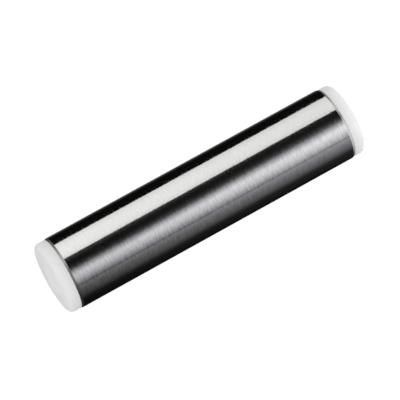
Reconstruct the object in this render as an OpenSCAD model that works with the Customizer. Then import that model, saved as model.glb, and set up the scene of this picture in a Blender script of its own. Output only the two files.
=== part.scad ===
// Full-floating piston pin: a hollow ground steel tube with a crowned plastic button in each end.
// The pin lies along X with its middle at the origin. All sizes are in millimetres.

/* [Pin tube] */
// Outside diameter of the ground bearing surface
pin_d = 20; // [16:0.5:30]
// Length of the tube between its end faces
pin_len = 82; // [60:1:120]
// Wall thickness of the tube
wall = 4; // [2.5:0.25:5]
// Length along the axis of the lead chamfer at each outer edge
lead_len = 0.6; // [0.3:0.1:1.5]
// Depth of that lead chamfer below the bearing surface
lead_depth = 0.25; // [0.1:0.05:0.6]
// Size of the 45 degree chamfer at each mouth of the bore
mouth_chamfer = 0.8; // [0.5:0.1:1.5]

/* [End buttons] */
// Height of the head at the top of its crown, above the tube's end face
head_h = 4; // [3:0.1:8]
// How far the rim of the head sits inside the bearing surface, all the way round
rim_inset = 0.17; // [0.05:0.01:0.5]
// Radius of the crowned face, half the bore of the cylinder that it rides on
crown_r = 45; // [35:0.5:90]
// Radius of the rounded edge between the rim and the crown
edge_r = 1.3; // [0.4:0.1:2]
// Length of the spigot that plugs into the tube
spigot_len = 10; // [5:0.5:20]
// Gap between the spigot and the bore, all the way round
spigot_gap = 0.03; // [0.01:0.01:0.1]
// Size of the 45 degree chamfer at the tip of the spigot
tip_chamfer = 1; // [0.3:0.1:2]
// Radius of the fillet where the spigot meets the head
root_r = 0.4; // [0.1:0.1:0.5]

/* [Hidden] */
$fn = 160;

LEFT = -1;
RIGHT = 1;
steel_grey = [0.60, 0.61, 0.62];
button_white = [0.92, 0.93, 0.94];

pin_r = pin_d / 2;
half_len = pin_len / 2;
bore_r = pin_r - wall;
mouth_r = bore_r + mouth_chamfer;
lead_r = pin_r - lead_depth;

spigot_r = bore_r - spigot_gap;
rim_r = pin_r - rim_inset;

// The rounded edge is an arc that touches the rim's straight side and the crown from inside.
crown_centre = head_h - crown_r;
edge_x = rim_r - edge_r;
edge_y = crown_centre + sqrt(pow(crown_r - edge_r, 2) - pow(edge_x, 2));
// Radius at which the crown runs into the rounded edge
crown_edge_x = edge_x * crown_r / (crown_r - edge_r);

// Turns a half section about the X axis. The section's own Y axis points out of the given end.
module turned(end = RIGHT) {
    rotate([0, 90 * end, 0]) rotate_extrude() children();
}

// Half section of the tube: ground outside, straight bore, chamfers at all four edges.
module tube_section() {
    polygon([
        [bore_r, mouth_chamfer - half_len],
        [mouth_r, -half_len],
        [lead_r, -half_len],
        [pin_r, lead_len - half_len],
        [pin_r, half_len - lead_len],
        [lead_r, half_len],
        [mouth_r, half_len],
        [bore_r, half_len - mouth_chamfer],
    ]);
}

// Half section of a button's head, standing on the seat at Y = 0.
module head_section() {
    square([rim_r, edge_y]);
    translate([edge_x, edge_y]) circle(edge_r);
    intersection() {
        translate([0, crown_centre]) circle(crown_r);
        square([crown_edge_x, head_h]);
    }
}

// Half section of the spigot, from inside the head down to its lead-in tip, with the fillet at its root.
module spigot_section() {
    polygon([
        [0, edge_y],
        [spigot_r, edge_y],
        [spigot_r, tip_chamfer - spigot_len],
        [spigot_r - tip_chamfer, -spigot_len],
        [0, -spigot_len],
    ]);
    difference() {
        translate([0, -root_r]) square([spigot_r + root_r, edge_y + root_r]);
        translate([spigot_r + root_r, -root_r]) circle(root_r);
    }
}

module pin_tube() {
    color(steel_grey) turned() tube_section();
}

// One button, seated on the tube's end face at the given end.
module end_button(end) {
    color(button_white)
        translate([end * half_len, 0, 0]) {
            turned(end) head_section();
            turned(end) spigot_section();
        }
}

module left_button() {
    end_button(LEFT);
}

module right_button() {
    end_button(RIGHT);
}

pin_tube();
left_button();
right_button();
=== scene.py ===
"""Piston pin with end buttons.

A ground steel tube and two crowned white plastic buttons are turned from their half sections by one lathe
tree, dressed in procedural finishes and set on a plain studio stage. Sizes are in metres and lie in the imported
part's frame: the pin runs along X with its middle at the origin.
"""

import math
from typing import NamedTuple

import bpy
from bpy.props import FloatProperty, FloatVectorProperty, PointerProperty
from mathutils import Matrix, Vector


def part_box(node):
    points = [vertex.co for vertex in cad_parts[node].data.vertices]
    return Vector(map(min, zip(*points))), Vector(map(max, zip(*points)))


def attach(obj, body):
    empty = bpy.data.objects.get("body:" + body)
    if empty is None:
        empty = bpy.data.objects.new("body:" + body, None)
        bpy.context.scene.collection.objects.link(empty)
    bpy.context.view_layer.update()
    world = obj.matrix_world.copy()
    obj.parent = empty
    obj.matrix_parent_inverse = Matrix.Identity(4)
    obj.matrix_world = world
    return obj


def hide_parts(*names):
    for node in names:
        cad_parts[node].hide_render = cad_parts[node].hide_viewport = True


bl_info = {
    "name": "Piston Pin",
    "version": (1, 0, 0),
    "blender": (4, 5, 0),
    "location": "3D View > Sidebar > Piston Pin",
    "description": "Turns a steel piston pin and its white end buttons, and sets up the stage they are shown on",
    "category": "Add Mesh",
}

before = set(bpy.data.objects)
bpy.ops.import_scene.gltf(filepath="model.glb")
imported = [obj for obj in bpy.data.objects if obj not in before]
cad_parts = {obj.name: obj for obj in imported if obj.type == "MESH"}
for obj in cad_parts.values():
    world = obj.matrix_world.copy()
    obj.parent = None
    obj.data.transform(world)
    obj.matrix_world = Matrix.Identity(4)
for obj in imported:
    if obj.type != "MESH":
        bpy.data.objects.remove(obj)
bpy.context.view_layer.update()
TUBE_LOW, TUBE_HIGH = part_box("pin_tube")
BUTTON_LOW, BUTTON_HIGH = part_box("right_button")

BODY = "root"
LEFT, RIGHT = -1, 1

# How finely the pieces are turned
TUBE_STEPS, BUTTON_STEPS = 256, 192
EDGE_STEPS, CROWN_STEPS = 12, 28
STEPS_PER_CORNER = 3
WELD_DISTANCE = 1e-7
# Holding points stand this many edge softnesses from a corner, on runs longer than this many such gaps.
HOLD_GAP, HOLD_RUN = 2, 4


class TubeSettings(bpy.types.PropertyGroup):
    """Sizes and finish of the steel tube."""

    diameter: FloatProperty(
        name="Diameter", description="Outside diameter of the ground bearing surface",
        default=TUBE_HIGH.z - TUBE_LOW.z, precision=5, unit="LENGTH")
    length: FloatProperty(
        name="Length", description="Length between the end faces",
        default=TUBE_HIGH.x - TUBE_LOW.x, precision=5, unit="LENGTH")
    wall: FloatProperty(
        name="Wall", description="Thickness of the tube's wall",
        default=0.004, precision=5, unit="LENGTH")
    lead_length: FloatProperty(
        name="Lead length", description="Length along the axis of the lead chamfer at each outer edge",
        default=0.0006, precision=5, unit="LENGTH")
    lead_depth: FloatProperty(
        name="Lead depth", description="Depth of the lead chamfer below the bearing surface",
        default=0.00025, precision=5, unit="LENGTH")
    mouth_chamfer: FloatProperty(
        name="Mouth chamfer", description="Size of the chamfer at each mouth of the bore",
        default=0.0008, precision=5, unit="LENGTH")
    edge_softness: FloatProperty(
        name="Edge softness", description="Radius that tumbling leaves on each machined edge",
        default=0.00006, precision=6, unit="LENGTH")
    colour: FloatVectorProperty(
        name="Steel", description="Colour of the bare ground steel",
        default=(0.66, 0.66, 0.655), size=3, min=0, max=1, subtype="COLOR")


class ButtonSettings(bpy.types.PropertyGroup):
    """Sizes and finish of the white end buttons."""

    rim_diameter: FloatProperty(
        name="Rim diameter", description="Diameter of the head's straight rim",
        default=BUTTON_HIGH.z - BUTTON_LOW.z, precision=5, unit="LENGTH")
    head_height: FloatProperty(
        name="Head height", description="Height of the crown's top above the tube's end face",
        default=BUTTON_HIGH.x - TUBE_HIGH.x, precision=5, unit="LENGTH")
    crown_radius: FloatProperty(
        name="Crown radius", description="Radius of the crowned face",
        default=0.045, precision=5, unit="LENGTH")
    edge_radius: FloatProperty(
        name="Edge radius", description="Radius of the rounded edge between rim and crown",
        default=0.0013, precision=5, unit="LENGTH")
    spigot_diameter: FloatProperty(
        name="Spigot diameter", description="Diameter of the spigot that plugs the tube",
        default=0.01194, precision=5, unit="LENGTH")
    spigot_length: FloatProperty(
        name="Spigot length", description="Length of the spigot below the head",
        default=TUBE_HIGH.x - BUTTON_LOW.x, precision=5, unit="LENGTH")
    tip_chamfer: FloatProperty(
        name="Tip chamfer", description="Size of the chamfer at the spigot's tip",
        default=0.001, precision=5, unit="LENGTH")
    root_radius: FloatProperty(
        name="Root radius", description="Radius of the fillet where the spigot meets the head",
        default=0.0004, precision=5, unit="LENGTH")
    edge_softness: FloatProperty(
        name="Edge softness", description="Radius left on each turned edge",
        default=0.00008, precision=6, unit="LENGTH")
    colour: FloatVectorProperty(
        name="Plastic", description="Colour of the white plastic",
        default=(0.87, 0.87, 0.873), size=3, min=0, max=1, subtype="COLOR")


class StageSettings(bpy.types.PropertyGroup):
    """Camera, lights and surroundings."""

    camera_azimuth: FloatProperty(
        name="Camera azimuth", description="Turn of the camera about the vertical, from in front of the pin",
        default=math.radians(-31.004), subtype="ANGLE")
    camera_elevation: FloatProperty(
        name="Camera elevation", description="Height of the camera above the horizon",
        default=math.radians(66.49), subtype="ANGLE")
    camera_distance: FloatProperty(
        name="Camera distance", description="Distance from the camera to the middle of the pin",
        default=0.856, unit="LENGTH")
    camera_lens: FloatProperty(
        name="Lens", description="Focal length in millimetres on a 36 mm wide sensor",
        default=299.1)
    frame_offset: FloatVectorProperty(
        name="Frame offset", description="How far right and up of the picture's middle the pin's middle lies",
        default=(0.000060, 0.00053), size=2, precision=6, unit="LENGTH")
    floor_drop: FloatProperty(
        name="Floor drop", description="How far the floor lies below the pin, which its mount holds up",
        default=1.0, unit="LENGTH")
    right_level: FloatProperty(
        name="Right lamp", description="Light of the right lamp on a matt surface that faces it",
        default=0.155)
    left_level: FloatProperty(
        name="Left lamp", description="Light of the left lamp on a matt surface that faces it",
        default=0.125)
    ambient_level: FloatProperty(
        name="Ambient level", description="Brightness of the room as matt surfaces receive it",
        default=0.8)


# Half sections


def arc(centre, radius, start, end, count):
    """Points on an arc, from one angle to another, both ends included."""
    points = []
    for i in range(count + 1):
        angle = start + (end - start) * i / count
        points.append((centre[0] + radius * math.cos(angle), centre[1] + radius * math.sin(angle), 0.0))
    return points


def with_holding_points(section, gap):
    """The section with a point close to each end of its long straight runs, so that flats shade flat."""
    held = [section[0]]
    for start, end in zip(section, section[1:]):
        a, b = Vector(start[:2]), Vector(end[:2])
        run = (b - a).length
        if run > HOLD_RUN * gap:
            for share in (gap / run, 1 - gap / run):
                point = a.lerp(b, share)
                held.append((point.x, point.y, 0.0))
        held.append(end)
    return held


def tube_section(tube):
    """Half section of the tube as (along the axis, radius, softness), round from the middle of the bore."""
    half = tube.length / 2
    outside = tube.diameter / 2
    bore = outside - tube.wall
    mouth = bore + tube.mouth_chamfer
    lead = outside - tube.lead_depth
    soft = tube.edge_softness
    corners = [
        (half - tube.mouth_chamfer, bore),
        (half, mouth),
        (half, lead),
        (half - tube.lead_length, outside),
    ]
    there = [(x, r, soft) for x, r in corners]
    back = [(-x, r, soft) for x, r in reversed(corners)]
    middle = (0.0, bore, 0.0)
    return with_holding_points([middle, *there, *back, middle], HOLD_GAP * soft)


def button_section(button, seat, end):
    """Half section of the button at one end, whose head stands on the seat there."""
    rim = button.rim_diameter / 2
    spigot = button.spigot_diameter / 2
    tip = seat - button.spigot_length
    soft = button.edge_softness
    crown_centre = seat + button.head_height - button.crown_radius
    edge_r = rim - button.edge_radius
    reach = button.crown_radius - button.edge_radius
    edge_x = crown_centre + math.sqrt(reach ** 2 - edge_r ** 2)
    lean = math.asin(edge_r / reach)
    straight = [
        (tip, 0.0, 0.0),
        (tip, spigot - button.tip_chamfer, soft),
        (tip + button.tip_chamfer, spigot, soft),
        (seat, spigot, button.root_radius),
        (seat, rim, soft),
    ]
    edge = arc((edge_x, edge_r), button.edge_radius, math.pi / 2, lean, EDGE_STEPS)
    crown = arc((crown_centre, 0.0), button.crown_radius, lean, 0.0, CROWN_STEPS)
    crown[-1] = (seat + button.head_height, 0.0, 0.0)
    section = with_holding_points([*straight, edge[0]], HOLD_GAP * soft) + edge[1:] + crown[1:]
    return [(end * x, r, softness) for x, r, softness in section][::-end]


# The lathe


def lathe_tree():
    """A tree that rounds a half section's corners by their own softness and turns it about X."""
    tree = bpy.data.node_groups.new("Lathe", "GeometryNodeTree")
    tree.is_modifier = True
    face = tree.interface
    face.new_socket("Half Section", in_out="INPUT", socket_type="NodeSocketGeometry")
    steps = face.new_socket("Steps Around", in_out="INPUT", socket_type="NodeSocketInt")
    rounding = face.new_socket("Steps Per Corner", in_out="INPUT", socket_type="NodeSocketInt")
    weld = face.new_socket("Weld Distance", in_out="INPUT", socket_type="NodeSocketFloat")
    face.new_socket("Finish", in_out="INPUT", socket_type="NodeSocketMaterial")
    face.new_socket("Turned Piece", in_out="OUTPUT", socket_type="NodeSocketGeometry")
    steps.default_value = BUTTON_STEPS
    rounding.default_value = STEPS_PER_CORNER
    weld.default_value = WELD_DISTANCE

    nodes, links = tree.nodes, tree.links

    def add(kind, label, **settings):
        node = nodes.new(kind)
        node.label = label
        for name, value in settings.items():
            setattr(node, name, value)
        return node

    given = add("NodeGroupInput", "Given")
    curve = add("GeometryNodeMeshToCurve", "Section as curve")
    softness = add("GeometryNodeInputNamedAttribute", "Corner softness", data_type="FLOAT")
    softness.inputs["Name"].default_value = "softness"
    fillet = add("GeometryNodeFilletCurve", "Round the corners", mode="POLY")
    count = add("GeometryNodeAttributeDomainSize", "Points in the section", component="CURVE")
    around = add("ShaderNodeMath", "Points around", operation="ADD")
    around.inputs[1].default_value = 1
    grid = add("GeometryNodeMeshGrid", "Skin")
    index = add("GeometryNodeInputIndex", "Point number")
    along = add("FunctionNodeIntegerMath", "Place in the section", operation="DIVIDE_FLOOR")
    turn = add("FunctionNodeIntegerMath", "Step around", operation="MODULO")
    place = add("GeometryNodeInputPosition", "Section position")
    sample = add("GeometryNodeSampleIndex", "Section point", data_type="FLOAT_VECTOR", domain="POINT")
    parts = add("ShaderNodeSeparateXYZ", "Along and radius")
    share = add("ShaderNodeMath", "Share of a turn", operation="DIVIDE")
    angle = add("ShaderNodeMath", "Angle", operation="MULTIPLY")
    angle.inputs[1].default_value = -math.tau
    sine = add("ShaderNodeMath", "Sine", operation="SINE")
    cosine = add("ShaderNodeMath", "Cosine", operation="COSINE")
    across = add("ShaderNodeMath", "Across", operation="MULTIPLY")
    upward = add("ShaderNodeMath", "Upward", operation="MULTIPLY")
    point = add("ShaderNodeCombineXYZ", "Turned point")
    turned = add("GeometryNodeSetPosition", "Turn")
    welded = add("GeometryNodeMergeByDistance", "Weld seam and poles")
    smooth = add("GeometryNodeSetShadeSmooth", "Smooth")
    realize = add("GeometryNodeRealizeInstances", "Realize")
    finish = add("GeometryNodeSetMaterial", "Finish")
    result = add("NodeGroupOutput", "Result")

    for source, target in (
        (given.outputs["Half Section"], curve.inputs["Mesh"]),
        (curve.outputs["Curve"], fillet.inputs["Curve"]),
        (given.outputs["Steps Per Corner"], fillet.inputs["Count"]),
        (softness.outputs["Attribute"], fillet.inputs["Radius"]),
        (fillet.outputs["Curve"], count.inputs["Geometry"]),
        (given.outputs["Steps Around"], around.inputs[0]),
        (count.outputs["Point Count"], grid.inputs["Vertices X"]),
        (around.outputs[0], grid.inputs["Vertices Y"]),
        (index.outputs[0], along.inputs[0]),
        (around.outputs[0], along.inputs[1]),
        (index.outputs[0], turn.inputs[0]),
        (around.outputs[0], turn.inputs[1]),
        (fillet.outputs["Curve"], sample.inputs["Geometry"]),
        (place.outputs[0], sample.inputs["Value"]),
        (along.outputs[0], sample.inputs["Index"]),
        (sample.outputs[0], parts.inputs[0]),
        (turn.outputs[0], share.inputs[0]),
        (given.outputs["Steps Around"], share.inputs[1]),
        (share.outputs[0], angle.inputs[0]),
        (angle.outputs[0], sine.inputs[0]),
        (angle.outputs[0], cosine.inputs[0]),
        (parts.outputs["Y"], across.inputs[0]),
        (sine.outputs[0], across.inputs[1]),
        (parts.outputs["Y"], upward.inputs[0]),
        (cosine.outputs[0], upward.inputs[1]),
        (parts.outputs["X"], point.inputs["X"]),
        (across.outputs[0], point.inputs["Y"]),
        (upward.outputs[0], point.inputs["Z"]),
        (grid.outputs["Mesh"], turned.inputs["Geometry"]),
        (point.outputs[0], turned.inputs["Position"]),
        (turned.outputs[0], welded.inputs["Geometry"]),
        (given.outputs["Weld Distance"], welded.inputs["Distance"]),
        (welded.outputs[0], smooth.inputs["Geometry"]),
        (smooth.outputs[0], realize.inputs["Geometry"]),
        (realize.outputs[0], finish.inputs["Geometry"]),
        (given.outputs["Finish"], finish.inputs["Material"]),
        (finish.outputs[0], result.inputs[0]),
    ):
        links.new(source, target)
    return tree


def lathe_inputs(tree):
    """The lathe tree's inputs by name, each as its identifier."""
    return {s.name: s.identifier for s in tree.interface.items_tree if s.in_out == "INPUT"}


def turn_piece(name, section, finish, steps_around):
    """Turns a half section into a closed piece that wears the finish."""
    tree = bpy.data.node_groups.get("Lathe") or lathe_tree()
    outline = bpy.data.meshes.new(name + "_section")
    points = [(x, r, 0.0) for x, r, _ in section]
    outline.from_pydata(points, [(i, i + 1) for i in range(len(points) - 1)], [])
    softness = outline.attributes.new("softness", "FLOAT", "POINT")
    softness.data.foreach_set("value", [soft for _, _, soft in section])
    piece = bpy.data.objects.new(name, outline)
    bpy.context.scene.collection.objects.link(piece)

    lathe = piece.modifiers.new("Lathe", "NODES")
    lathe.node_group = tree
    inputs = lathe_inputs(tree)
    lathe[inputs["Steps Around"]] = steps_around
    lathe[inputs["Steps Per Corner"]] = STEPS_PER_CORNER
    lathe[inputs["Weld Distance"]] = WELD_DISTANCE
    lathe[inputs["Finish"]] = finish
    graph = bpy.context.evaluated_depsgraph_get()
    turned = bpy.data.meshes.new_from_object(piece.evaluated_get(graph), depsgraph=graph)
    piece.modifiers.remove(lathe)
    turned.name = name
    piece.data = turned
    bpy.data.meshes.remove(outline)
    if enclosed_volume(turned) <= 0:
        raise RuntimeError(f"{name} is open or inside out")
    return piece


def enclosed_volume(mesh):
    """Volume inside a closed mesh, negative where its faces point inwards and zero where it is open."""
    sides = {}
    for polygon in mesh.polygons:
        for key in polygon.edge_keys:
            sides[key] = sides.get(key, 0) + 1
    if any(count != 2 for count in sides.values()):
        return 0.0
    mesh.calc_loop_triangles()
    corners = mesh.vertices
    volume = 0.0
    for triangle in mesh.loop_triangles:
        a, b, c = (corners[i].co for i in triangle.vertices)
        volume += a.dot(b.cross(c)) / 6
    return volume


# Finishes


# Colour sockets of a mix node
MIX_FIRST, MIX_SECOND, MIX_RESULT = 6, 7, 2

# Features per metre along the pin and both ways across it
GRINDING_LINES = (2700, 500, 500)
LAPPED_GRAIN = (1500, 1200, 1200)
HANDLING_FILM = (70, 110, 110)
WAXY_MOTTLE = (260, 260, 260)
FINE_PORES = (2600, 2600, 2600)

# Steel. Tones are shares of its colour, and the film and the turned finish add to the grain's roughness.
GROUND_DEPTH, TURNED_DEPTH = 0.00001, 0.00004  # below the bearing surface: still ground, and only turned
LINE_TONES = (0.955, 1.045)
GRAIN_ROUGHNESS = (0.055, 0.115)
FILM_ROUGHNESS = 0.02
TURNED_ROUGHNESS = 0.24
LINE_SLOPE, GRAIN_SLOPE = 0.062, 0.01

# Plastic. Tones are shares of its colour.
PLASTIC_SHEEN = 0.25
MILKY_SHARE, MILKY_DEPTH = 0.2, 0.001
MILKY_SPREAD = (1.0, 0.98, 0.96)
MOTTLE_TONES = (0.975, 1.015)
MOTTLE_ROUGHNESS = (0.56, 0.68)
SEAT_SHADE_TONE, SEAT_SHADE_REACH = 0.89, 0.0018  # painted shade at the steel: its tone, and how far up the head it fades
TOOL_FEED = 0.00032
RING_SHARE = 0.25  # height of the tool rings against the pores
RELIEF_HEIGHT = 0.000006


def set_range(node, *limits):
    """Sets the lowest and highest that a map range node takes, and what it gives for them."""
    for name, number in zip(("From Min", "From Max", "To Min", "To Max"), limits):
        node.inputs[name].default_value = number


class Finish:
    """A procedural material under construction."""

    def __init__(self, name):
        self.material = bpy.data.materials.new(name)
        self.material.use_nodes = True
        self.tree = self.material.node_tree
        self.shader = self.tree.nodes["Principled BSDF"]
        self.object_space = self.add("ShaderNodeTexCoord", "Piece space").outputs["Object"]

    def add(self, kind, label, **settings):
        """A labelled node with its settings."""
        node = self.tree.nodes.new(kind)
        node.label = label
        for name, value in settings.items():
            setattr(node, name, value)
        return node

    def link(self, source, target):
        self.tree.links.new(source, target)

    def math(self, label, operation, first, second=None):
        """Arithmetic on sockets or plain numbers."""
        node = self.add("ShaderNodeMath", label, operation=operation)
        for socket, value in zip(node.inputs, (first, second)):
            if value is None:
                continue
            if isinstance(value, (int, float)):
                socket.default_value = value
            else:
                self.link(value, socket)
        return node.outputs[0]

    def noise(self, label, scale, detail, roughness):
        """Noise on object coordinates, with its own scale along each axis in features per metre."""
        mapping = self.add("ShaderNodeMapping", label + " spacing")
        mapping.inputs["Scale"].default_value = scale
        texture = self.add("ShaderNodeTexNoise", label)
        texture.inputs["Scale"].default_value = 1.0
        texture.inputs["Detail"].default_value = detail
        texture.inputs["Roughness"].default_value = roughness
        self.link(self.object_space, mapping.inputs["Vector"])
        self.link(mapping.outputs[0], texture.inputs["Vector"])
        return texture.outputs["Fac"]

    def spread(self, label, value, low_in, high_in, low_out, high_out):
        """The value taken from one range to another and held there."""
        node = self.add("ShaderNodeMapRange", label)
        set_range(node, low_in, high_in, low_out, high_out)
        self.link(value, node.inputs["Value"])
        return node.outputs[0]

    def blend(self, label, share, first, second):
        """Two colours mixed by a share."""
        node = self.add("ShaderNodeMix", label, data_type="RGBA")
        self.link(share, node.inputs["Factor"])
        for socket, value in ((node.inputs[MIX_FIRST], first), (node.inputs[MIX_SECOND], second)):
            if isinstance(value, bpy.types.NodeSocket):
                self.link(value, socket)
            else:
                socket.default_value = (*value, 1.0)
        return node.outputs[MIX_RESULT]

    def radius(self):
        """Distance from the pin's axis."""
        apart = self.add("ShaderNodeSeparateXYZ", "Across the pin")
        self.link(self.object_space, apart.inputs[0])
        flat = self.add("ShaderNodeCombineXYZ", "Section plane")
        self.link(apart.outputs["Y"], flat.inputs["Y"])
        self.link(apart.outputs["Z"], flat.inputs["Z"])
        length = self.add("ShaderNodeVectorMath", "Distance from the axis", operation="LENGTH")
        self.link(flat.outputs[0], length.inputs[0])
        return length.outputs["Value"]

    def bump(self, label, height, distance):
        """The surface's normal over a relief of this height."""
        node = self.add("ShaderNodeBump", label)
        node.inputs["Strength"].default_value = 1.0
        node.inputs["Distance"].default_value = distance
        self.link(height, node.inputs["Height"])
        return node.outputs[0]

    def leant(self, along_marks, along_slope, round_marks, round_slope):
        """The surface's normal, leant to and fro along the pin by one pattern of marks and round it by another."""
        surface = self.add("ShaderNodeNewGeometry", "Smooth surface").outputs["Normal"]
        axis = self.add(
            "ShaderNodeVectorTransform", "Pin's axis",
            vector_type="VECTOR", convert_from="OBJECT", convert_to="WORLD")
        axis.inputs[0].default_value = (1.0, 0.0, 0.0)
        around = self.add("ShaderNodeVectorMath", "Round the pin", operation="CROSS_PRODUCT")
        self.link(axis.outputs[0], around.inputs[0])
        self.link(surface, around.inputs[1])
        for label, way, marks, slope in (
            ("Lean along", axis, along_marks, along_slope),
            ("Lean round", around, round_marks, round_slope),
        ):
            step = self.add("ShaderNodeVectorMath", label, operation="SCALE")
            self.link(way.outputs[0], step.inputs[0])
            self.link(self.spread(label + " slope", marks, 0.0, 1.0, -slope, slope), step.inputs["Scale"])
            total = self.add("ShaderNodeVectorMath", label + " on the surface", operation="ADD")
            self.link(surface, total.inputs[0])
            self.link(step.outputs[0], total.inputs[1])
            surface = total.outputs[0]
        unit = self.add("ShaderNodeVectorMath", "Marked surface", operation="NORMALIZE")
        self.link(surface, unit.inputs[0])
        return unit.outputs[0]


def shade(colour, factor):
    """A colour made darker or lighter."""
    return tuple(min(1.0, c * factor) for c in colour)


def ground_steel(tube):
    """Ground and lapped steel: fine marks run round the pin, and what isn't ground keeps a duller turned finish."""
    steel = Finish("Ground steel")
    shader = steel.shader
    shader.inputs["Metallic"].default_value = 1.0
    lines = steel.noise("Grinding lines", GRINDING_LINES, 1.0, 0.5)
    grain = steel.noise("Lapped grain", LAPPED_GRAIN, 1.0, 0.5)
    patches = steel.noise("Handling film", HANDLING_FILM, 3.0, 0.5)
    machined = steel.spread(
        "Turned, not ground", steel.radius(),
        tube.diameter / 2 - TURNED_DEPTH, tube.diameter / 2 - GROUND_DEPTH, 1.0, 0.0)

    tone = steel.spread("Tone of the marks", lines, 0.3, 0.7, 0.0, 1.0)
    ground = steel.blend("Ground tone", tone, *(shade(tube.colour, share) for share in LINE_TONES))
    colour = steel.blend("Turned tone", machined, ground, tube.colour)
    steel.link(colour, shader.inputs["Base Color"])

    gloss = steel.spread("Gloss of the marks", grain, 0.34, 0.66, *GRAIN_ROUGHNESS)
    film = steel.spread("Dulling film", patches, 0.42, 0.68, 0.0, FILM_ROUGHNESS)
    dull = steel.math("Dulled", "ADD", gloss, film)
    turned = steel.math("Turned share", "MULTIPLY", machined, TURNED_ROUGHNESS)
    rough = steel.math("Turned dulling", "ADD", dull, turned)
    steel.link(rough, shader.inputs["Roughness"])

    steel.link(steel.leant(lines, LINE_SLOPE, grain, GRAIN_SLOPE), shader.inputs["Normal"])
    return steel.material


def white_plastic(button, seat):
    """Turned white plastic: waxy, mottled and ringed by the tool, with painted shade where it meets the steel."""
    plastic = Finish("White plastic")
    shader = plastic.shader
    shader.inputs["Specular IOR Level"].default_value = PLASTIC_SHEEN
    shader.inputs["Subsurface Weight"].default_value = MILKY_SHARE
    shader.inputs["Subsurface Radius"].default_value = MILKY_SPREAD
    shader.inputs["Subsurface Scale"].default_value = MILKY_DEPTH
    mottle = plastic.noise("Waxy mottle", WAXY_MOTTLE, 4.0, 0.55)
    pores = plastic.noise("Fine pores", FINE_PORES, 2.0, 0.5)
    radius = plastic.radius()
    along = plastic.add("ShaderNodeSeparateXYZ", "Along the pin")
    plastic.link(plastic.object_space, along.inputs[0])
    feed = plastic.math("Tool path", "ADD", radius, along.outputs["X"])
    phase = plastic.math("Tool feed", "MULTIPLY", feed, math.tau / TOOL_FEED)
    rings = plastic.math("Tool rings", "SINE", phase)

    share = plastic.spread("Mottle share", mottle, 0.35, 0.65, 0.0, 1.0)
    mottled = plastic.blend("Mottled white", share, *(shade(button.colour, tone) for tone in MOTTLE_TONES))
    # Painted shade: the white is darkened towards the seat, where the head meets the steel tube.
    from_middle = plastic.math("Distance from the middle", "ABSOLUTE", along.outputs["X"])
    painted_seat_shade = plastic.spread("Painted shade near the steel", from_middle, seat, seat + SEAT_SHADE_REACH, 1.0, 0.0)
    colour = plastic.blend("White with painted shade near the steel", painted_seat_shade, mottled, shade(button.colour, SEAT_SHADE_TONE))
    plastic.link(colour, shader.inputs["Base Color"])
    rough = plastic.spread("Waxy gloss", mottle, 0.3, 0.7, *MOTTLE_ROUGHNESS)
    plastic.link(rough, shader.inputs["Roughness"])

    low_rings = plastic.math("Ring depth", "MULTIPLY", rings, RING_SHARE)
    marks = plastic.math("Rings and pores", "ADD", low_rings, pores)
    plastic.link(plastic.bump("Turned relief", marks, RELIEF_HEIGHT), shader.inputs["Normal"])
    return plastic.material


# Stage


class Card(NamedTuple):
    """A card of graded light, curved about the pin and seen only in its reflections."""

    name: str
    radius: float
    light: tuple  # (angle about the pin from the camera in degrees, brightness), from one long edge to the other
    along: tuple = (1.0, 1.0)  # share of the brightness at either end of the stretch beside the pin
    tint: tuple = (1.0, 1.0, 1.0)
    flare: float = 0.0  # share by which the light narrows at the left end of that stretch and widens at the right


CARDS = (
    Card("back_flag", 0.40, ((-184, 0.004), (3, 0.004))),
    Card("front_flag", 0.42, ((-3, 0.006), (178, 0.006))),
    Card("under_card", 0.38,
         ((158, 0.008), (170, 0.03), (178, 0.12), (186, 0.25), (194, 0.25), (202, 0.12), (210, 0.04),
          (222, 0.01))),
    Card("softbox_face", 0.33,
         ((-94.4, 1.01), (-84, 1.1), (-74, 1.18), (-62, 1.2), (-50, 1.18), (-42, 1.1), (-35.6, 1.02)),
         (1.04, 0.895), (1.0, 0.998, 0.983)),
    Card("wall_card", 0.36,
         ((-34, 0.05), (-30, 0.026), (-25, 0.012), (-14, 0.012), (-6, 0.036), (0, 0.115), (18, 0.93),
          (24, 0.97), (34, 0.8), (50, 0.36), (54, 0.28), (55.2, 0.19), (56, 0.22)),
         (0.77, 1.224), (0.965, 0.965, 1.0), 0.14),
    # The dark upper edge of this one shows as a thin line along the pin.
    Card("table_card", 0.355,
         ((53.6, 0.175), (55.2, 0.175), (56.6, 0.3), (62, 0.295), (66, 0.255), (70, 0.214), (93, 0.09),
          (102, 0.034), (112, 0.014), (140, 0.009)),
         (0.46, 1.525), (0.96, 0.96, 1.0)),
)
BESIDE_PIN = (0.0, 0.15)  # stretch along the cards that the pin shows to the camera
CARD_REACH = 8.0
CARD_STEPS = 48
FLARE_WAIST = 0.5  # place across a card, as a share, that its flare leaves where it is
# Light that stands past either end of the pin, where the end chamfers look, by angle as on the cards.
LEFT_LIGHT = (
    (-180, 0.02), (-160, 0.04), (-132, 0.16), (-118, 0.16), (-100, 0.1), (-72, 0.1), (-58, 0.16),
    (-48, 0.6), (-20, 0.62), (-12, 0.32), (8, 0.14), (24, 0.2), (38, 0.19), (60, 0.06), (95, 0.03),
    (135, 0.05), (152, 0.2), (166, 0.2), (180, 0.02))
RIGHT_LIGHT = (
    (-180, 0.04), (-150, 0.05), (-120, 0.12), (-100, 0.4), (-80, 0.66), (-60, 0.72), (-40, 0.58),
    (-28, 0.16), (-14, 0.12), (-6, 0.4), (6, 0.95), (20, 1.28), (40, 1.3), (60, 1.25), (80, 1.15),
    (100, 1.0), (112, 0.85), (130, 0.5), (150, 0.15), (180, 0.05))
# Places along the pin where each of these comes in, is full, starts to go and is gone, in line with the camera.
# At the sides they lie nearer, down to this share.
LEFT_SPAN = (-0.14, -0.25, -0.31, -0.7)
RIGHT_SPAN = (0.32, 0.58, 0.75, 1.0)
NEAREST_SHARE = 0.45


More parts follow.
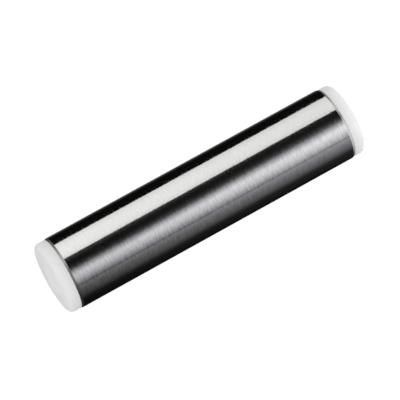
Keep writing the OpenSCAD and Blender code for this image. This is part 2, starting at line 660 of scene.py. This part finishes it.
class Glow:
    """A card's light under construction."""

    def __init__(self, name):
        self.material = bpy.data.materials.new(name)
        self.material.use_nodes = True
        self.tree = self.material.node_tree
        self.tree.nodes.clear()
        place = self.add("ShaderNodeTexCoord")
        turn = self.add("ShaderNodeSeparateXYZ", place.outputs["UV"])
        self.across, self.angle = turn.outputs["X"], turn.outputs["Y"]
        self.x = self.add("ShaderNodeSeparateXYZ", place.outputs["Object"]).outputs["X"]
        half_turn = self.math("MULTIPLY", self.angle, math.pi)
        share = self.math("MAXIMUM", self.math("SINE", half_turn), NEAREST_SHARE)
        self.outward = self.math("DIVIDE", self.x, share)

    def add(self, kind, *sources, **settings):
        """A node with its settings, its first inputs fed by the sources."""
        node = self.tree.nodes.new(kind)
        for name, value in settings.items():
            setattr(node, name, value)
        for source, socket in zip(sources, node.inputs):
            self.tree.links.new(source, socket)
        return node

    def math(self, operation, *values):
        """Arithmetic on sockets or plain numbers."""
        node = self.add("ShaderNodeMath", operation=operation)
        for value, socket in zip(values, node.inputs):
            if isinstance(value, (int, float)):
                socket.default_value = value
            else:
                self.tree.links.new(value, socket)
        return node.outputs[0]

    def ramp(self, share, light, tint=(1.0, 1.0, 1.0)):
        """Brightness by angle, from the first angle to the last."""
        node = self.add("ShaderNodeValToRGB", share)
        first, last = light[0][0], light[-1][0]
        bar = node.color_ramp.elements
        while len(bar) < len(light):
            bar.new(0.5)
        for stop, (angle, brightness) in zip(bar, light):
            stop.position = (angle - first) / (last - first)
            stop.color = (*(brightness * t for t in tint), 1.0)
        return node.outputs["Color"]

    def fade(self, place, start, end, low, high):
        """A number that goes from low to high as the place goes from start to end."""
        node = self.add("ShaderNodeMapRange", place)
        set_range(node, start, end, low, high)
        return node.outputs[0]

    def over(self, light, span, other):
        """Light that gives way to another within a span along the pin."""
        start, full, waning, gone = span
        coming = self.fade(self.outward, start, full, 0.0, 1.0)
        share = self.math("MULTIPLY", coming, self.fade(self.outward, waning, gone, 1.0, 0.0))
        node = self.add("ShaderNodeMix", data_type="RGBA")
        for socket, source in (("Factor", share), (MIX_FIRST, light), (MIX_SECOND, other)):
            self.tree.links.new(source, node.inputs[socket])
        return node.outputs[MIX_RESULT]


def graded_light(card):
    """A card's own light along the pin, broken past either end by the light that stands there."""
    glow = Glow(card.name)
    stretch = glow.fade(glow.x, *BESIDE_PIN, 1 + card.flare, 1 - card.flare)
    across = glow.math("MULTIPLY_ADD", glow.math("SUBTRACT", glow.across, FLARE_WAIST), stretch, FLARE_WAIST)
    own = glow.add("ShaderNodeVectorMath", glow.ramp(across, card.light, card.tint), operation="SCALE")
    glow.tree.links.new(glow.fade(glow.x, *BESIDE_PIN, *card.along), own.inputs["Scale"])
    light = glow.over(own.outputs[0], LEFT_SPAN, glow.ramp(glow.angle, LEFT_LIGHT))
    light = glow.over(light, RIGHT_SPAN, glow.ramp(glow.angle, RIGHT_LIGHT))
    lit = glow.add("ShaderNodeEmission", light)
    glow.add("ShaderNodeOutputMaterial", lit.outputs[0])
    return glow.material


def around_pin(angle, view_lean):
    """Unit direction across the pin at an angle in degrees from the camera, positive towards the front."""
    turn = view_lean + math.radians(angle)
    return Vector((0.0, -math.sin(turn), math.cos(turn)))


def curved_card(card, view_lean):
    """Hangs one card about the pin. Its UV map holds the share across the card and the share of a whole turn."""
    start, end = card.light[0][0], card.light[-1][0]
    angles = [start + (end - start) * i / CARD_STEPS for i in range(CARD_STEPS + 1)]
    points = []
    for angle in angles:
        out = around_pin(angle, view_lean) * card.radius
        points += [(-CARD_REACH, out.y, out.z), (CARD_REACH, out.y, out.z)]
    faces = [(2 * i, 2 * i + 1, 2 * i + 3, 2 * i + 2) for i in range(CARD_STEPS)]
    mesh = bpy.data.meshes.new(card.name)
    mesh.from_pydata(points, [], faces)
    layer = mesh.uv_layers.new(name="card")
    for loop in mesh.loops:
        step = loop.vertex_index // 2
        layer.data[loop.index].uv = (step / CARD_STEPS, angles[step] / 360 + 0.5)
    mesh.materials.append(graded_light(card))
    panel = bpy.data.objects.new(card.name, mesh)
    bpy.context.scene.collection.objects.link(panel)
    panel.visible_camera = False
    panel.visible_diffuse = False
    panel.visible_shadow = False
    panel.visible_transmission = False


def seen_as_white(tree):
    """1 for camera, glossy and transmission rays, 0 for the rest."""
    path = tree.nodes.new("ShaderNodeLightPath")
    total = path.outputs["Is Camera Ray"]
    for name in ("Is Glossy Ray", "Is Transmission Ray"):
        either = tree.nodes.new("ShaderNodeMath")
        either.operation = "MAXIMUM"
        tree.links.new(total, either.inputs[0])
        tree.links.new(path.outputs[name], either.inputs[1])
        total = either.outputs[0]
    return total


def white_world(ambient):
    """A room that looks white, and lights matt surfaces at the ambient level."""
    world = bpy.data.worlds.new("White room")
    bpy.context.scene.world = world
    world.use_nodes = True
    tree = world.node_tree
    background = tree.nodes["Background"]
    background.inputs["Color"].default_value = (1, 1, 1, 1)
    level = tree.nodes.new("ShaderNodeMapRange")
    level.inputs["To Min"].default_value = ambient
    level.inputs["To Max"].default_value = 1.0
    tree.links.new(seen_as_white(tree), level.inputs["Value"])
    tree.links.new(level.outputs[0], background.inputs["Strength"])


FLOOR_HALF = 6.0
FLOOR_GREY = 0.85
FLOOR_GLOW = 1.05
GLOW_SHARE = 0.9  # of what the camera and reflections see of the floor


def white_floor(drop):
    """A wide floor that is all but white to the camera and in reflections."""
    corners = ((-1, -1), (1, -1), (1, 1), (-1, 1))
    mesh = bpy.data.meshes.new("floor")
    mesh.from_pydata([(x * FLOOR_HALF, y * FLOOR_HALF, -drop) for x, y in corners], [], [(0, 1, 2, 3)])
    material = bpy.data.materials.new("Pale floor")
    material.use_nodes = True
    tree = material.node_tree
    tree.nodes.clear()
    matt = tree.nodes.new("ShaderNodeBsdfDiffuse")
    matt.inputs["Color"].default_value = (FLOOR_GREY, FLOOR_GREY, FLOOR_GREY, 1)
    glow = tree.nodes.new("ShaderNodeEmission")
    share = tree.nodes.new("ShaderNodeMath")
    share.operation = "MULTIPLY"
    share.inputs[1].default_value = GLOW_SHARE
    mixed = tree.nodes.new("ShaderNodeMixShader")
    out = tree.nodes.new("ShaderNodeOutputMaterial")
    glow.inputs["Strength"].default_value = FLOOR_GLOW
    tree.links.new(seen_as_white(tree), share.inputs[0])
    tree.links.new(share.outputs[0], mixed.inputs["Fac"])
    tree.links.new(matt.outputs[0], mixed.inputs[1])
    tree.links.new(glow.outputs[0], mixed.inputs[2])
    tree.links.new(mixed.outputs[0], out.inputs["Surface"])
    mesh.materials.append(material)
    floor = bpy.data.objects.new("floor", mesh)
    bpy.context.scene.collection.objects.link(floor)


class Lamp(NamedTuple):
    """A broad lamp for the matt buttons."""

    name: str
    angle: float  # about the pin from the camera, in degrees
    lean: float  # along the pin, in degrees, positive to the right
    distance: float
    tint: tuple


RIGHT_LAMP = Lamp("right_lamp", 30, 62, 0.14, (1.0, 0.995, 0.98))
LEFT_LAMP = Lamp("left_lamp", 5, -60, 0.7, (0.96, 0.965, 1.0))
LAMP_WIDTH = 0.7  # as a share of the lamp's distance


def soft_lamp(lamp, level, view_lean):
    """Hangs one lamp, facing the pin's middle and seen in no reflection."""
    lean = math.radians(lamp.lean)
    out = around_pin(lamp.angle, view_lean) * math.cos(lean) + Vector((math.sin(lean), 0, 0))
    light = bpy.data.lights.new(lamp.name, "AREA")
    light.shape = "DISK"
    light.size = LAMP_WIDTH * lamp.distance
    light.color = lamp.tint
    light.energy = level * (math.pi * lamp.distance) ** 2
    panel = bpy.data.objects.new(lamp.name, light)
    bpy.context.scene.collection.objects.link(panel)
    panel.location = out * lamp.distance
    panel.rotation_mode = "QUATERNION"
    panel.rotation_quaternion = out.to_track_quat("Z", "Y")
    panel.visible_camera = False
    panel.visible_glossy = False


SENSOR_WIDTH = 36.0
CLIP = (0.01, 20.0)


def photo_camera(stage):
    """Sets the camera up level at the photo's angle, and returns the direction from the pin back to it."""
    a, e = stage.camera_azimuth, stage.camera_elevation
    back = Vector((math.sin(a) * math.cos(e), -math.cos(a) * math.cos(e), math.sin(e)))
    turn = (-back).to_track_quat("-Z", "Y")
    aim = turn @ Vector((-stage.frame_offset[0], -stage.frame_offset[1], 0))
    lens = bpy.data.cameras.new("camera")
    lens.sensor_width = SENSOR_WIDTH
    lens.lens = stage.camera_lens
    lens.clip_start, lens.clip_end = CLIP
    camera = bpy.data.objects.new("camera", lens)
    camera.rotation_mode = "QUATERNION"
    camera.rotation_quaternion = turn
    camera.location = aim + back * stage.camera_distance
    bpy.context.scene.collection.objects.link(camera)
    bpy.context.scene.camera = camera
    return back


# Operators


def dress(piece, node):
    """Puts a finished piece in the place of its solid."""
    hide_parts(node)
    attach(piece, BODY)


class PISTONPIN_OT_tube(bpy.types.Operator):
    """Turn the ground steel tube"""

    bl_idname = "piston_pin.tube"
    bl_label = "Steel Tube"

    def execute(self, context):
        tube = context.scene.piston_pin_tube
        piece = turn_piece("steel_tube", tube_section(tube), ground_steel(tube), TUBE_STEPS)
        dress(piece, "pin_tube")
        return {"FINISHED"}


class PISTONPIN_OT_buttons(bpy.types.Operator):
    """Turn the white button for each end of the tube"""

    bl_idname = "piston_pin.buttons"
    bl_label = "End Buttons"

    def execute(self, context):
        button = context.scene.piston_pin_button
        seat = context.scene.piston_pin_tube.length / 2
        finish = white_plastic(button, seat)
        for name, end, node in (
            ("white_button_left", LEFT, "left_button"),
            ("white_button_right", RIGHT, "right_button"),
        ):
            section = button_section(button, seat, end)
            dress(turn_piece(name, section, finish, BUTTON_STEPS), node)
        return {"FINISHED"}


class PISTONPIN_OT_stage(bpy.types.Operator):
    """Set up the floor, lights, cards and camera"""

    bl_idname = "piston_pin.stage"
    bl_label = "Studio Stage"

    def execute(self, context):
        stage = context.scene.piston_pin_stage
        context.scene.view_settings.view_transform = "Standard"
        back = photo_camera(stage)
        view_lean = math.atan2(-back.y, back.z)
        white_world(stage.ambient_level)
        white_floor(stage.floor_drop)
        soft_lamp(RIGHT_LAMP, stage.right_level, view_lean)
        soft_lamp(LEFT_LAMP, stage.left_level, view_lean)
        for card in CARDS:
            curved_card(card, view_lean)
        return {"FINISHED"}


class PISTONPIN_PT_panel(bpy.types.Panel):
    """Lists the pin's pieces and their sizes"""

    bl_idname = "PISTONPIN_PT_panel"
    bl_label = "Piston Pin"
    bl_space_type = "VIEW_3D"
    bl_region_type = "UI"
    bl_category = "Piston Pin"

    def draw(self, context):
        scene = context.scene
        for operator, settings in (
            (PISTONPIN_OT_tube, scene.piston_pin_tube),
            (PISTONPIN_OT_buttons, scene.piston_pin_button),
            (PISTONPIN_OT_stage, scene.piston_pin_stage),
        ):
            box = self.layout.box()
            box.operator(operator.bl_idname)
            for name in settings.__annotations__:
                box.prop(settings, name)


CLASSES = (
    TubeSettings, ButtonSettings, StageSettings,
    PISTONPIN_OT_tube, PISTONPIN_OT_buttons, PISTONPIN_OT_stage, PISTONPIN_PT_panel,
)


def register():
    for cls in CLASSES:
        bpy.utils.register_class(cls)
    bpy.types.Scene.piston_pin_tube = PointerProperty(type=TubeSettings)
    bpy.types.Scene.piston_pin_button = PointerProperty(type=ButtonSettings)
    bpy.types.Scene.piston_pin_stage = PointerProperty(type=StageSettings)


def unregister():
    del bpy.types.Scene.piston_pin_stage
    del bpy.types.Scene.piston_pin_button
    del bpy.types.Scene.piston_pin_tube
    for cls in reversed(CLASSES):
        bpy.utils.unregister_class(cls)


def main():
    register()
    bpy.ops.piston_pin.tube()
    bpy.ops.piston_pin.buttons()
    bpy.ops.piston_pin.stage()


if __name__ == "__main__":
    main()
